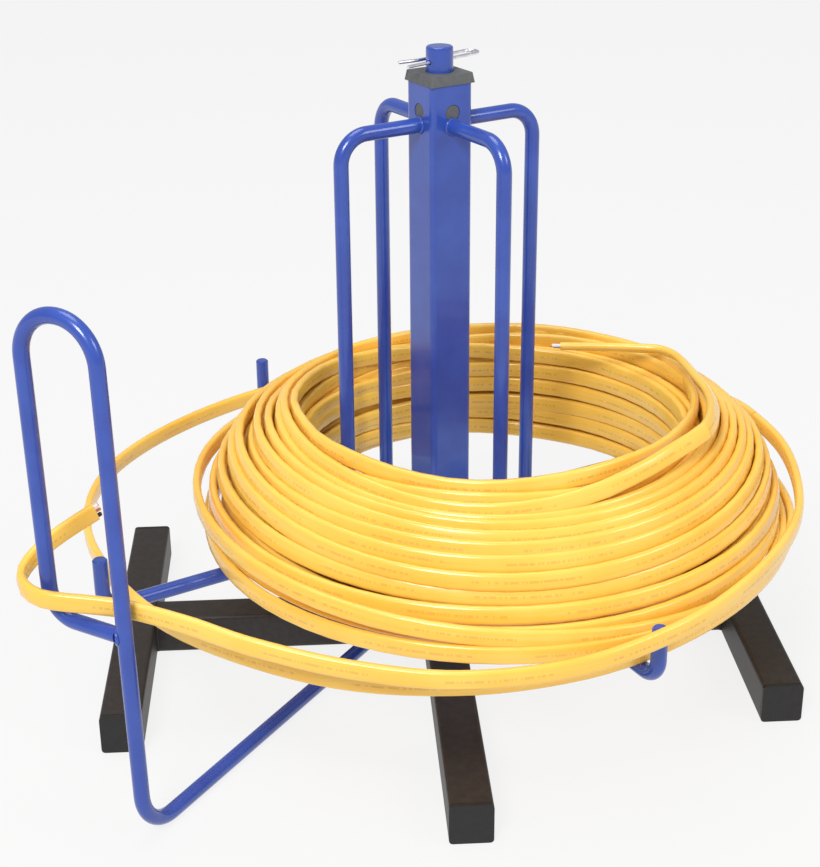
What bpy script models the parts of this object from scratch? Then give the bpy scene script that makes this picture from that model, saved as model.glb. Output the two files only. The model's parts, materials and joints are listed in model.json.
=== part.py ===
# Coil dispenser for building cable: a black welded base, a blue carousel that turns on an
# upright spindle, a bent-rod wire guide, a hairpin clip and the coil of flat cable it carries.
# Metres, +Z up. Origin: on the floor, under the spindle's axis. +X runs along the cross bar.
from math import cos, pi, radians, sin

import bmesh
import bpy
from mathutils import Matrix, Vector

# ---- fits and finishes ----
GAP = 0.0003                 # between pieces that touch
SHAFT_CLEARANCE = 0.0003     # radial, spindle in its bushings
PLUG_CLEARANCE = 0.0003      # a plug in its tube, on each side
ROD_SIDES = 10               # bevel resolution of the steel rods: 24 sides
CORD_SIDES = 2               # bevel resolution of the cable's solids: 8 sides

# ---- base ----
BASE_TUBE = 0.028            # square tube, outside
BASE_WALL = 0.002
BASE_CORNER = 0.0025         # outside corner radius
FOOT_LENGTH = 0.273          # over the end plugs
LEFT_FOOT_EXTRA = 0.005      # the left foot reaches this much further forward
FOOT_SPACING = 0.4476        # between the feet's centre lines
CENTRE_REACH = 0.2554        # from the spindle to the front of the centre bar
PLUG_HEAD = 0.003
PLUG_DEPTH = 0.014

# ---- spindle ----
SPINDLE_DIAMETER = 0.018
SPINDLE_ABOVE_CAP = 0.0165
SPINDLE_ROUND = 0.0018
PLATE_SIZE = 0.060
PLATE_THICKNESS = 0.005
WASHER_DIAMETER = 0.030
WASHER_THICKNESS = 0.0025

# ---- carousel ----
CAROUSEL_TURN = radians(28.4)   # how far the carousel is turned at rest
POST_TUBE = 0.03175
POST_WALL = 0.002
POST_CORNER = 0.0035
POST_LENGTH = 0.3755
BUSHING_FLANGE = 0.003
BUSHING_DEPTH = 0.022
CAP_HEIGHT = 0.0065
CAP_OVERHANG = 0.0010
CAP_TAPER = 0.0011
CAP_CORNER = 0.0009
CAP_DEPTH = 0.034
BUTTON_DIAMETER = 0.0110
BUTTON_BELOW_TOP = 0.0180    # snap buttons' centre, below the post's top
ROD = 0.010                  # diameter of every blue rod
CAGE_RADIUS = 0.0754         # cage rods' upright legs, from the spindle's axis
CAGE_BELOW_TOP = 0.0270      # cage rods' level legs, below the post's top
CAGE_BEND = 0.019
ARM_ABOVE_BOTTOM = 0.0613    # arms' centre line, above the post's bottom
ARM_REACH = 0.262            # to the centre line of the upturned ends
ARM_BEND = 0.013
ARM_TIP_RISE = 0.0365        # upturned end, above the arm's centre line
# how each arm's end has been bent: change in reach, sideways, change in rise
ARM_BENT = ((-0.0050, -0.0090, -0.0090), (-0.0060, 0.0114, 0), (-0.0005, 0, 0), (0.0002, -0.0122, 0))
BUTTON_SIDES = 20
TIP_CHAMFER = 0.0010

# ---- wire guide ----
GUIDE_HEADING = radians(56.4)   # of the floor leg, seen from above
GUIDE_WELD_X = -0.0518       # where the floor leg meets the cross bar
GUIDE_RUN = 0.2689           # floor leg, from the cross bar to its corner
GUIDE_FOOT_BEND = 0.026
GUIDE_HEIGHT = 0.3285        # loop's top above the floor leg's centre line
GUIDE_WIDTH = 0.0558         # between the two uprights' centre lines
GUIDE_SILL = 0.1357          # sill's centre line above the floor leg's
GUIDE_SILL_BEND = 0.020
GUIDE_LEAN_SIDE = 0.051      # sideways lean, metres per metre of height
GUIDE_LEAN_IN = 0.035        # lean towards the spindle, likewise
GUIDE_STEPS = 8              # pieces in each of the guide's bends
FULL_ARCH = 0.98             # bend radius of a round end, as a share of half its width

# ---- hairpin clip ----
CLIP_WIRE = 0.0022
CLIP_TURN = radians(40)        # clip's heading, seen from above
CLIP_BELOW_TOP = 0.0098        # clip's centre line, below the spindle's top
CLIP_HOLE = 0.0030
CLIP_TIP = 0.028               # straight leg's tip, past the axis
CLIP_EYE_END = 0.0385          # rounded end, from the axis
CLIP_OUTER_TIP = 0.0235        # outer leg's tip, past the axis
CLIP_SIDE_GAP = 0.0005         # outer leg to the spindle's side
CLIP_FLARE = 0.0035
CLIP_FLARE_BEND = 0.008
CLIP_SIDES = 4                 # bevel resolution of the clip: 12 sides

# ---- cable ----
CABLE_THICKNESS = 0.0052     # flat cable, 12 mm the other way
CABLE_WIDTH = 0.012
COIL_CENTRE = (0.038, -0.014)
COIL_BORE = 0.131
COIL_HEIGHT = 0.093
COIL_GAP = 0.0006            # between the arms and the coil
# outside of the coil: share of its height, and radius
COIL_SHOULDER = [(0.00, 0.197), (0.10, 0.202), (0.32, 0.202), (0.58, 0.194), (0.84, 0.175), (1.0, 0.151)]
COIL_SIDES = 64
TURN_STEP = 0.0195           # between the points of the loose turn's solid
LEAD_STEP = 0.012
END_STEP = 0.010

# routes of the cable where it isn't coiled (metres)
# azimuth in degrees, radius, height above the coil's underside
LOOSE_TURN = [
    (10.6, 0.2431, 0.0405), (20, 0.2438, 0.0372), (34, 0.2450, 0.0310), (50, 0.2450, 0.0225),
    (70, 0.2430, 0.0145), (92, 0.2425, 0.0095), (118, 0.2435, 0.0065), (143, 0.2445, 0.0060),
    (166, 0.2515, 0.0065), (187, 0.2520, 0.0065), (208.4, 0.2490, 0.0065), (228, 0.2505, 0.0065),
    (250, 0.2540, 0.0065), (268, 0.2545, 0.0065), (284, 0.2520, 0.0065), (298.4, 0.2480, 0.0065),
    (314, 0.2450, 0.0065), (330, 0.2460, 0.0065), (346, 0.2490, 0.0065), (360, 0.2470, 0.0065),
    (374, 0.2420, 0.0065),
]
# from the coil's side to the bare end round the guide
LEAD = [
    (0.2393, 0.0422, 0.1471), (0.2458, -0.0086, 0.1482), (0.2414, -0.0646, 0.1486),
    (0.2274, -0.1209, 0.1495), (0.2022, -0.1697, 0.1500), (0.1668, -0.2136, 0.1475),
    (0.1214, -0.2490, 0.1420), (0.0587, -0.2763, 0.1370), (-0.0099, -0.2823, 0.1350),
    (-0.0722, -0.2695, 0.1370), (-0.1276, -0.2510, 0.1430), (-0.1650, -0.2340, 0.1490),
    (-0.1985, -0.2205, 0.1530), (-0.2130, -0.2175, 0.1545), (-0.2275, -0.2150, 0.1555),
    (-0.2420, -0.2130, 0.1565), (-0.2550, -0.2090, 0.1575), (-0.2645, -0.2000, 0.1590),
    (-0.2685, -0.1880, 0.1605), (-0.2665, -0.1755, 0.1625), (-0.2605, -0.1640, 0.1655),
    (-0.2510, -0.1550, 0.1700), (-0.2395, -0.1475, 0.1750), (-0.2275, -0.1410, 0.1800),
]
# the coil's inner end, lying over it: height above the coil's top
FREE_END = [
    (0.1677, -0.0972, 0.0030), (0.1799, -0.0649, 0.0032), (0.1834, -0.0360, 0.0035),
    (0.1812, -0.0084, 0.0038), (0.1783, 0.0172, 0.0040), (0.1745, 0.0355, 0.0040),
    (0.1660, 0.0475, 0.0040), (0.1498, 0.0530, 0.0039), (0.1220, 0.0590, 0.0035),
    (0.0945, 0.0640, 0.0030),
]

# ---- derived ----
ROD_RADIUS = ROD / 2
SPINDLE_RADIUS = SPINDLE_DIAMETER / 2
HALF_TUBE = BASE_TUBE / 2
PLATE_Z = BASE_TUBE + GAP
WASHER_Z = PLATE_Z + PLATE_THICKNESS + GAP
FLANGE_Z = WASHER_Z + WASHER_THICKNESS + GAP
POST_Z = FLANGE_Z + BUSHING_FLANGE + GAP
POST_TOP = POST_Z + POST_LENGTH
CAP_Z = POST_TOP + GAP
SPINDLE_TOP = CAP_Z + CAP_HEIGHT + SPINDLE_ABOVE_CAP
CAGE_Z = POST_TOP - CAGE_BELOW_TOP
ARM_Z = POST_Z + ARM_ABOVE_BOTTOM
BUTTON_Z = POST_TOP - BUTTON_BELOW_TOP
BORE_RADIUS = SPINDLE_RADIUS + SHAFT_CLEARANCE
POST_HALF = POST_TUBE / 2
POST_INSIDE = POST_HALF - POST_WALL
COIL_Z = ARM_Z + ROD_RADIUS + COIL_GAP

MATERIALS = {
    "black_coat": ((0.030, 0.027, 0.026), 0.55, 0.0),
    "black_plastic": ((0.018, 0.016, 0.015), 0.45, 0.0),
    "blue_coat": ((0.045, 0.070, 0.380), 0.18, 0.0),
    "grey_plastic": ((0.095, 0.097, 0.105), 0.50, 0.0),
    "nylon": ((0.75, 0.74, 0.70), 0.45, 0.0),
    "zinc": ((0.70, 0.71, 0.74), 0.22, 1.0),
    "yellow_sheath": ((0.900, 0.470, 0.050), 0.40, 0.0),
}


def material(name):
    """Return the named material, made on first use."""
    found = bpy.data.materials.get(name)
    if found:
        return found
    colour, roughness, metallic = MATERIALS[name]
    made = bpy.data.materials.new(name)
    made.use_nodes = True
    shader = made.node_tree.nodes["Principled BSDF"]
    shader.inputs["Base Color"].default_value = (*colour, 1.0)
    shader.inputs["Roughness"].default_value = roughness
    shader.inputs["Metallic"].default_value = metallic
    return made


def add_object(name, data, material_name, parent=None):
    """Link one sub-part, with its material, under its parent."""
    piece = bpy.data.objects.new(name, data)
    bpy.context.scene.collection.objects.link(piece)
    data.materials.append(material(material_name))
    piece.parent = parent
    return piece


def mesh_object(name, bm, material_name, parent=None, smooth_angle=radians(35)):
    """Turn a bmesh into a sub-part, with its faces pointing outwards."""
    bmesh.ops.recalc_face_normals(bm, faces=bm.faces)
    mesh = bpy.data.meshes.new(name)
    bm.to_mesh(mesh)
    bm.free()
    mesh.shade_smooth()
    mesh.set_sharp_from_angle(angle=smooth_angle)
    return add_object(name, mesh, material_name, parent)


def cutter(name, bm):
    """A hidden solid that a Boolean takes away."""
    piece = mesh_object(name, bm, "black_plastic")
    piece.hide_render = True
    piece.display_type = "WIRE"
    return piece


def cut(piece, tool):
    """Take a cutter away from a sub-part, exactly."""
    boolean = piece.modifiers.new("cut", "BOOLEAN")
    boolean.operation = "DIFFERENCE"
    boolean.solver = "EXACT"
    boolean.object = tool


def bore(piece, low, high):
    """Cut the spindle's running bore through a sub-part, from below low to above high."""
    hole = stack_mesh([(circle(BORE_RADIUS, 32), z) for z in (low - BORE_RADIUS, high + BORE_RADIUS)])
    tool = cutter(piece.name + "_bore", hole)
    tool.parent = piece.parent
    cut(piece, tool)


def square_outline(half, corner, steps=3):
    """Points of a square with round corners, counter-clockwise."""
    inner = half - corner
    points = []
    for quarter, (sx, sy) in enumerate(((1, 1), (-1, 1), (-1, -1), (1, -1))):
        for step in range(steps + 1):
            angle = (quarter + step / steps) * pi / 2
            points.append((sx * inner + corner * cos(angle), sy * inner + corner * sin(angle)))
    return points


def ring_of(bm, outline, z):
    """One ring of vertices at a height."""
    return [bm.verts.new((x, y, z)) for x, y in outline]


def join_rings(bm, lower, upper):
    """Quads between two rings of the same count."""
    count = len(lower)
    for i in range(count):
        j = (i + 1) % count
        bm.faces.new((lower[i], lower[j], upper[j], upper[i]))


def bore_into(bm, outline_ring, bore_ring):
    """Fill the flat ring between an outline and a bore of the same count."""
    count = len(outline_ring)
    for i in range(count):
        j = (i + 1) % count
        bm.faces.new((outline_ring[i], outline_ring[j], bore_ring[j], bore_ring[i]))


def inside_corner(corner, wall):
    """Corner radius inside a tube with this outside corner and wall."""
    return max(corner - wall, wall / 4)


def tube_mesh(length, size, wall, corner):
    """Open square tube along +Z, from z = 0."""
    bm = bmesh.new()
    outside = square_outline(size / 2, corner)
    inside = square_outline(size / 2 - wall, inside_corner(corner, wall))
    rings = [ring_of(bm, outline, z) for outline in (outside, inside) for z in (0.0, length)]
    join_rings(bm, rings[0], rings[1])
    join_rings(bm, rings[2], rings[3])
    bore_into(bm, rings[0], rings[2])
    bore_into(bm, rings[1], rings[3])
    return bm


def stack_mesh(levels):
    """Solid of stacked outlines: (outline, z) from the bottom up."""
    bm = bmesh.new()
    rings = [ring_of(bm, outline, z) for outline, z in levels]
    for lower, upper in zip(rings, rings[1:]):
        join_rings(bm, lower, upper)
    bm.faces.new(rings[0])
    bm.faces.new(rings[-1])
    return bm


def circle(radius, sides):
    """Points of a circle."""
    return [(radius * cos(2 * pi * i / sides), radius * sin(2 * pi * i / sides)) for i in range(sides)]


def placed(bm, matrix):
    """Move a bmesh before it becomes a sub-part."""
    bmesh.ops.transform(bm, matrix=matrix, verts=bm.verts)
    return bm


def along(direction, origin):
    """Matrix that takes +Z to a direction, with +X kept level."""
    z = Vector(direction).normalized()
    x = Vector((0, 0, 1)).cross(z) if abs(z.z) < 0.9 else Vector((1, 0, 0))
    x.normalize()
    y = z.cross(x)
    turn = Matrix((x, y, z)).transposed().to_4x4()
    return Matrix.Translation(Vector(origin)) @ turn


def bent_path(corners, bends, steps=7):
    """Straight legs through corner points, each corner rounded to its bend radius."""
    points = [Vector(corners[0])]
    for before, corner, after, bend in zip(corners, corners[1:], corners[2:], bends):
        corner = Vector(corner)
        back = (Vector(before) - corner).normalized()
        onward = (Vector(after) - corner).normalized()
        half = back.angle(onward) / 2
        centre = corner + (back + onward).normalized() * (bend / sin(half))
        start = corner + back * (bend / sin(half) * cos(half)) - centre
        end = corner + onward * (bend / sin(half) * cos(half)) - centre
        swing = start.angle(end)
        for step in range(steps + 1):
            share = step / steps
            spoke = (start * sin((1 - share) * swing) + end * sin(share * swing)) / sin(swing)
            points.append(centre + spoke)
    points.append(Vector(corners[-1]))
    kept = [points[0]]
    for point in points[1:]:
        if (point - kept[-1]).length > GAP:
            kept.append(point)
    return kept


def smooth_path(route, step):
    """Even points on a smooth curve through a route's own points."""
    route = [Vector(point) for point in route]
    fine = []
    ends = [route[0] * 2 - route[1]] + route + [route[-1] * 2 - route[-2]]
    for p0, p1, p2, p3 in zip(ends, ends[1:], ends[2:], ends[3:]):
        for i in range(12):
            t = i / 12
            fine.append(0.5 * (p1 * 2 + (p2 - p0) * t + (p0 * 2 - p1 * 5 + p2 * 4 - p3) * t * t
                               + (p1 * 3 - p0 - p2 * 3 + p3) * t * t * t))
    fine.append(route[-1])
    total = sum((b - a).length for a, b in zip(fine, fine[1:]))
    count = max(2, round(total / step))
    points = [fine[0]]
    walked = 0.0
    for a, b in zip(fine, fine[1:]):
        span = (b - a).length
        while len(points) < count and walked + span >= total * len(points) / count:
            points.append(a.lerp(b, (total * len(points) / count - walked) / span))
        walked += span
    points.append(fine[-1])
    return points


def round_bar(name, points, diameter, material_name, parent=None, sides=ROD_SIDES, chamfer=0.0):
    """A rod or cable: a poly curve with a round bevel and filled caps."""
    data = bpy.data.curves.new(name, "CURVE")
    data.dimensions = "3D"
    data.bevel_depth = diameter / 2
    data.bevel_resolution = sides
    data.use_fill_caps = True
    data.twist_mode = "MINIMUM"
    points = list(points)
    radii = [1.0] * len(points)
    if chamfer:
        tip = points[-1]
        back = (points[-2] - tip).normalized()
        points.insert(-1, tip + back * chamfer)
        radii = [1.0] * (len(points) - 1) + [1.0 - chamfer / (diameter / 2)]
    spline = data.splines.new("POLY")
    spline.points.add(len(points) - 1)
    for entry, point, radius in zip(spline.points, points, radii):
        entry.co = (*point, 1.0)
        entry.radius = radius
    spline.use_smooth = True
    return add_object(name, data, material_name, parent)


# ---- base ----
def end_plug(name, mouth, outward):
    """Black plug: a flat head over the tube's end and a block inside it."""
    inside = BASE_TUBE / 2 - BASE_WALL - PLUG_CLEARANCE
    block = square_outline(inside, inside_corner(BASE_CORNER, BASE_WALL))
    head = square_outline(HALF_TUBE, BASE_CORNER)
    levels = [(block, -PLUG_DEPTH), (block, GAP), (head, GAP), (head, GAP + PLUG_HEAD)]
    mesh_object(name, placed(stack_mesh(levels), along(outward, mouth)), "black_plastic")


def base_tube(name, start, end):
    """Square tube between two points."""
    direction = Vector(end) - Vector(start)
    bm = tube_mesh(direction.length, BASE_TUBE, BASE_WALL, BASE_CORNER)
    return mesh_object(name, placed(bm, along(direction, start)), "black_coat")


def build_base():
    head = GAP + PLUG_HEAD
    half_foot = FOOT_LENGTH / 2 - head
    for side, x, extra in (("left", -FOOT_SPACING / 2, LEFT_FOOT_EXTRA), ("right", FOOT_SPACING / 2, 0)):
        front = (x, -half_foot - extra, HALF_TUBE)
        back = (x, half_foot, HALF_TUBE)
        base_tube(f"{side}_foot", front, back)
        end_plug(f"{side}_foot_front_plug", front, (0, -1, 0))
        end_plug(f"{side}_foot_rear_plug", back, (0, 1, 0))
    reach = FOOT_SPACING / 2 - HALF_TUBE - GAP
    cross_bar = base_tube("cross_bar", (-reach, 0, HALF_TUBE), (reach, 0, HALF_TUBE))
    hole = stack_mesh([(circle(BORE_RADIUS, 32), z) for z in (HALF_TUBE, BASE_TUBE + HALF_TUBE)])
    cut(cross_bar, cutter("spindle_hole", hole))
    front = CENTRE_REACH - head
    base_tube("centre_bar", (0, -HALF_TUBE - GAP, HALF_TUBE), (0, -front, HALF_TUBE))
    end_plug("centre_bar_plug", (0, -front, HALF_TUBE), (0, -1, 0))


# ---- spindle ----
def build_spindle():
    foot = BASE_WALL + GAP
    rim = SPINDLE_RADIUS - SPINDLE_ROUND
    levels = [(circle(SPINDLE_RADIUS, 32), foot)]
    for step in range(5):
        angle = step / 4 * pi / 2
        radius = rim + SPINDLE_ROUND * cos(angle)
        levels.append((circle(radius, 32), SPINDLE_TOP - SPINDLE_ROUND * (1 - sin(angle))))
    spindle = mesh_object("spindle", stack_mesh(levels), "blue_coat")
    length = SPINDLE_DIAMETER * 2
    hole = stack_mesh([(circle(CLIP_HOLE / 2, 16), z) for z in (-length / 2, length / 2)])
    direction = (cos(CLIP_TURN), sin(CLIP_TURN), 0)
    cut(spindle, cutter("clip_hole", placed(hole, along(direction, (0, 0, SPINDLE_TOP - CLIP_BELOW_TOP)))))
    outline = square_outline(PLATE_SIZE / 2, BASE_CORNER)
    levels = [(outline, PLATE_Z), (outline, PLATE_Z + PLATE_THICKNESS)]
    plate = mesh_object("spindle_plate", stack_mesh(levels), "black_coat")
    bore(plate, levels[0][1], levels[-1][1])
    outline = circle(WASHER_DIAMETER / 2, 32)
    levels = [(outline, WASHER_Z), (outline, WASHER_Z + WASHER_THICKNESS)]
    washer = mesh_object("thrust_washer", stack_mesh(levels), "nylon")
    bore(washer, levels[0][1], levels[-1][1])


# ---- carousel: everything is made square to the axes and turned by its parent empty ----
def spoke(index, radius, z):
    """A point on one of the four arms' lines."""
    angle = index * pi / 2
    return Vector((radius * cos(angle), radius * sin(angle), z))


def build_post(parent):
    bm = placed(tube_mesh(POST_LENGTH, POST_TUBE, POST_WALL, POST_CORNER), Matrix.Translation((0, 0, POST_Z)))
    post = mesh_object("post", bm, "blue_coat", parent)
    for index in range(2):
        hole = stack_mesh([(circle(BUTTON_DIAMETER / 2, BUTTON_SIDES), z) for z in (-POST_TUBE, POST_TUBE)])
        tool = cutter(f"button_hole_{index + 1}", placed(hole, along(spoke(index, 1, 0), (0, 0, BUTTON_Z))))
        tool.parent = parent
        cut(post, tool)


def build_top_cap(parent):
    """Tapered cap on the post, one piece with its bushing, and four snap buttons in the post's holes."""
    block = square_outline(POST_INSIDE - PLUG_CLEARANCE, inside_corner(POST_CORNER, POST_WALL))
    skirt = square_outline(POST_HALF + CAP_OVERHANG, CAP_CORNER)
    crown = square_outline(POST_HALF + CAP_OVERHANG - CAP_TAPER, CAP_CORNER)
    levels = [(block, CAP_Z - CAP_DEPTH), (block, CAP_Z), (skirt, CAP_Z), (crown, CAP_Z + CAP_HEIGHT)]
    cap = mesh_object("top_cap", stack_mesh(levels), "grey_plastic", parent, radians(20))
    bore(cap, levels[0][1], levels[-1][1])
    for index in range(4):
        radius = BUTTON_DIAMETER / 2 - PLUG_CLEARANCE
        start = POST_INSIDE - POST_WALL
        levels = [(circle(radius, BUTTON_SIDES), start), (circle(radius, BUTTON_SIDES), POST_HALF - GAP)]
        tool = cutter(f"snap_button_{index + 1}", placed(stack_mesh(levels), along(spoke(index, 1, 0), (0, 0, BUTTON_Z))))
        tool.parent = parent
        join = cap.modifiers.new("button", "BOOLEAN")
        join.operation = "UNION"
        join.solver = "EXACT"
        join.object = tool


def build_lower_bushing(parent):
    block = square_outline(POST_INSIDE - PLUG_CLEARANCE, inside_corner(POST_CORNER, POST_WALL))
    flange = square_outline(POST_HALF, POST_CORNER)
    top = POST_Z - GAP
    levels = [(flange, FLANGE_Z), (flange, top), (block, top), (block, top + BUSHING_DEPTH)]
    bushing = mesh_object("lower_bushing", stack_mesh(levels), "nylon", parent)
    bore(bushing, levels[0][1], levels[-1][1])


def build_arms(parent):
    face = POST_HALF + GAP
    for index in range(4):
        outward, sideways, upward = ARM_BENT[index]
        end = spoke(index, ARM_REACH + outward, ARM_Z) + spoke(index + 1, sideways, 0)
        corners = [spoke(index, face, ARM_Z), end, end + Vector((0, 0, ARM_TIP_RISE + upward))]
        path = bent_path(corners, [ARM_BEND])
        round_bar(f"arm_{index + 1}", path, ROD, "blue_coat", parent, chamfer=TIP_CHAMFER)
        corners = [spoke(index, CAGE_RADIUS, ARM_Z + ROD_RADIUS + GAP), spoke(index, CAGE_RADIUS, CAGE_Z),
                   spoke(index, face, CAGE_Z)]
        path = bent_path(corners, [CAGE_BEND])
        round_bar(f"cage_rod_{index + 1}", path, ROD, "blue_coat", parent)


# ---- wire guide: one bent rod, welded to the cross bar and closed on itself at the sill ----
def build_guide():
    inward = Vector((cos(GUIDE_HEADING), sin(GUIDE_HEADING), 0))
    across = Vector((-inward.y, inward.x, 0))
    rise = Vector((0, 0, 1)) + inward * GUIDE_LEAN_IN + across * GUIDE_LEAN_SIDE
    weld = Vector((GUIDE_WELD_X, -HALF_TUBE, ROD_RADIUS))
    clear = (ROD_RADIUS * abs(inward.x) + GAP) / inward.y
    foot = weld - inward * GUIDE_RUN
    sill_end = foot + rise * GUIDE_SILL + across * (ROD_RADIUS + GAP)
    corners = [
        weld - inward * clear,
        foot,
        foot + rise * GUIDE_HEIGHT,
        foot + rise * GUIDE_HEIGHT + across * GUIDE_WIDTH,
        foot + rise * GUIDE_SILL + across * GUIDE_WIDTH,
        sill_end,
    ]
    arch = GUIDE_WIDTH / 2 * FULL_ARCH
    path = bent_path(corners, [GUIDE_FOOT_BEND, arch, arch, GUIDE_SILL_BEND], steps=GUIDE_STEPS)
    round_bar("guide_rod", path, ROD, "blue_coat")


# ---- hairpin clip: a straight leg through the spindle, an eye, and a leg along its side ----
def build_clip():
    z = SPINDLE_TOP - CLIP_BELOW_TOP
    side = SPINDLE_RADIUS + CLIP_WIRE / 2 + CLIP_SIDE_GAP
    arch = side / 2 * FULL_ARCH
    corners = [
        Vector((-CLIP_TIP, 0, 0)),
        Vector((CLIP_EYE_END, 0, 0)),
        Vector((CLIP_EYE_END, side, 0)),
        Vector((-SPINDLE_RADIUS, side, 0)),
        Vector((-CLIP_OUTER_TIP, side + CLIP_FLARE, 0)),
    ]
    empty = bpy.data.objects.new("clip_axis", None)
    bpy.context.scene.collection.objects.link(empty)
    empty.location = (0, 0, z)
    empty.rotation_euler = (0, 0, CLIP_TURN)
    path = bent_path(corners, [arch, arch, CLIP_FLARE_BEND], steps=5)
    round_bar("hairpin_clip", path, CLIP_WIRE, "zinc", empty, sides=CLIP_SIDES)


# ---- cable ----
def build_coil():
    """Outer shape of the wound coil, as a turned ring."""
    profile = [(COIL_BORE, 0.0)] + [(radius, share * COIL_HEIGHT) for share, radius in COIL_SHOULDER]
    profile.append((COIL_BORE, COIL_HEIGHT))
    bm = bmesh.new()
    cx, cy = COIL_CENTRE
    rings = []
    for radius, height in profile:
        outline = [(cx + x, cy + y) for x, y in circle(radius, COIL_SIDES)]
        rings.append(ring_of(bm, outline, COIL_Z + height))
    for lower, upper in zip(rings, rings[1:] + rings[:1]):
        join_rings(bm, lower, upper)
    mesh_object("cable_coil", bm, "yellow_sheath")


def build_cables():
    turn = []
    for azimuth, radius, z in LOOSE_TURN:
        angle = radians(azimuth)
        turn.append((radius * cos(angle), radius * sin(angle), COIL_Z + z))
    over = [(x, y, COIL_Z + COIL_HEIGHT + z) for x, y, z in FREE_END]
    routes = (("loose_turn", turn, TURN_STEP), ("lead", LEAD, LEAD_STEP), ("inner_end", over, END_STEP))
    for name, route, step in routes:
        path = smooth_path(route, step)
        round_bar(name, path, CABLE_THICKNESS, "yellow_sheath", sides=CORD_SIDES)


def main():
    for piece in list(bpy.data.objects):
        bpy.data.objects.remove(piece, do_unlink=True)
    carousel = bpy.data.objects.new("carousel_axis", None)
    bpy.context.scene.collection.objects.link(carousel)
    carousel.rotation_euler = (0, 0, CAROUSEL_TURN)
    build_base()
    build_spindle()
    build_post(carousel)
    build_top_cap(carousel)
    build_lower_bushing(carousel)
    build_arms(carousel)
    build_guide()
    build_clip()
    build_coil()
    build_cables()


main()
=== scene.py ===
import json
from math import cos, pi, radians, sin, sqrt

import bpy
import numpy as np
from mathutils import Matrix, Vector


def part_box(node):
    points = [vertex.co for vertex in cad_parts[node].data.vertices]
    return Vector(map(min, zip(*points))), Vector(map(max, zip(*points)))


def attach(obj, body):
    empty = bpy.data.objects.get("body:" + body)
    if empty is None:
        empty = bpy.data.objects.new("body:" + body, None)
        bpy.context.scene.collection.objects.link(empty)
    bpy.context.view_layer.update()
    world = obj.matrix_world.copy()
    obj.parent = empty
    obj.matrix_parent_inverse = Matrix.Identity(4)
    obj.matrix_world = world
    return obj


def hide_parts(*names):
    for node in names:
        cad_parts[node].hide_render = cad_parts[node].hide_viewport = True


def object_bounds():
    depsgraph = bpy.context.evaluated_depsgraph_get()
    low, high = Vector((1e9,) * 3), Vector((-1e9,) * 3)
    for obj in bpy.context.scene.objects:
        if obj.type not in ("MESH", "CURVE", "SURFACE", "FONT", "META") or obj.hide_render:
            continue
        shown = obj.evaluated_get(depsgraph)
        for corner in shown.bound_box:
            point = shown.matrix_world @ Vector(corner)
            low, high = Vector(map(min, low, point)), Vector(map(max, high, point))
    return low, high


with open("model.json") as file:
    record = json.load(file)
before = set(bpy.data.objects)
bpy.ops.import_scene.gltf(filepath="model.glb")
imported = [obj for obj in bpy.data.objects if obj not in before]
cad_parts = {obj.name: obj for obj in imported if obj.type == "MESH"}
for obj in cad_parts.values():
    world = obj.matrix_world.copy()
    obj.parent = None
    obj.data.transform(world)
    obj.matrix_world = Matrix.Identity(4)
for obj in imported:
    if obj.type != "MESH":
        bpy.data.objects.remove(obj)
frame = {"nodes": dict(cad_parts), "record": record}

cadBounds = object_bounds()
floorZ = float(cadBounds[0][2])
scene = bpy.context.scene

camera = {
    "place": (-0.0842, -1.1164, 0.6609),   # metres
    "yaw": 3.22,                           # degrees, towards +X
    "pitch": -23.96,
    "roll": -0.51,
    "lens": 71.34,                         # mm
    "sensor": 36,                          # mm high
    "near": 0.02,
}


def addCamera():
    yaw, pitch, roll = (radians(camera[name]) for name in ("yaw", "pitch", "roll"))
    forward = Vector((sin(yaw) * cos(pitch), cos(yaw) * cos(pitch), sin(pitch)))
    level = Vector((cos(yaw), -sin(yaw), 0))
    upright = level.cross(forward)
    right = level * cos(roll) + upright * sin(roll)
    up = upright * cos(roll) - level * sin(roll)
    data = bpy.data.cameras.new("camera")
    data.sensor_fit = "VERTICAL"
    data.sensor_height = camera["sensor"]
    data.lens = camera["lens"]
    data.clip_start = camera["near"]
    thing = bpy.data.objects.new("camera", data)
    turn = Matrix((right, up, -forward)).transposed()
    thing.matrix_world = Matrix.Translation(camera["place"]) @ turn.to_4x4()
    scene.collection.objects.link(thing)
    scene.camera = thing


addCamera()
print("camera placed")


# sRGB hex to the linear colour a shader takes
def linearColour(code):
    parts = [int(code[i:i + 2], 16) / 255 for i in (1, 3, 5)]
    linear = [p / 12.92 if p <= 0.04045 else ((p + 0.055) / 1.055) ** 2.4 for p in parts]
    return (*linear, 1.0)


# a node with its values, its links and its settings
def addNode(tree, kind, values=None, links=None, **settings):
    node = tree.nodes.new(kind)
    for key, value in settings.items():
        setattr(node, key, value)
    for key, value in (values or {}).items():
        node.inputs[key].default_value = value
    for key, source in (links or {}).items():
        tree.links.new(source, node.inputs[key])
    return node


def newMaterial(name, values):
    material = bpy.data.materials.new(name)
    material.use_nodes = True
    tree = material.node_tree
    tree.nodes.clear()
    shader = addNode(tree, "ShaderNodeBsdfPrincipled", values)
    addNode(tree, "ShaderNodeOutputMaterial", links={"Surface": shader.outputs[0]})
    return material, tree, shader


# a ramp's two ends: their tones and where they lie
def setTones(ramp, tones, spots):
    for end, code, spot in zip(ramp.color_ramp.elements, tones, spots):
        end.color = linearColour(code)
        end.position = spot


# colour that wanders between two tones, in blotches of a size in millimetres
def mottled(tree, shader, place, tones, blotch, detail=3.0):
    noise = addNode(tree, "ShaderNodeTexNoise", {"Scale": 1000 / blotch, "Detail": detail},
                    {"Vector": place})
    ramp = addNode(tree, "ShaderNodeValToRGB", links={"Fac": noise.outputs[0]})
    setTones(ramp, tones, (0.35, 0.65))
    tree.links.new(ramp.outputs[0], shader.inputs["Base Color"])


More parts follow.
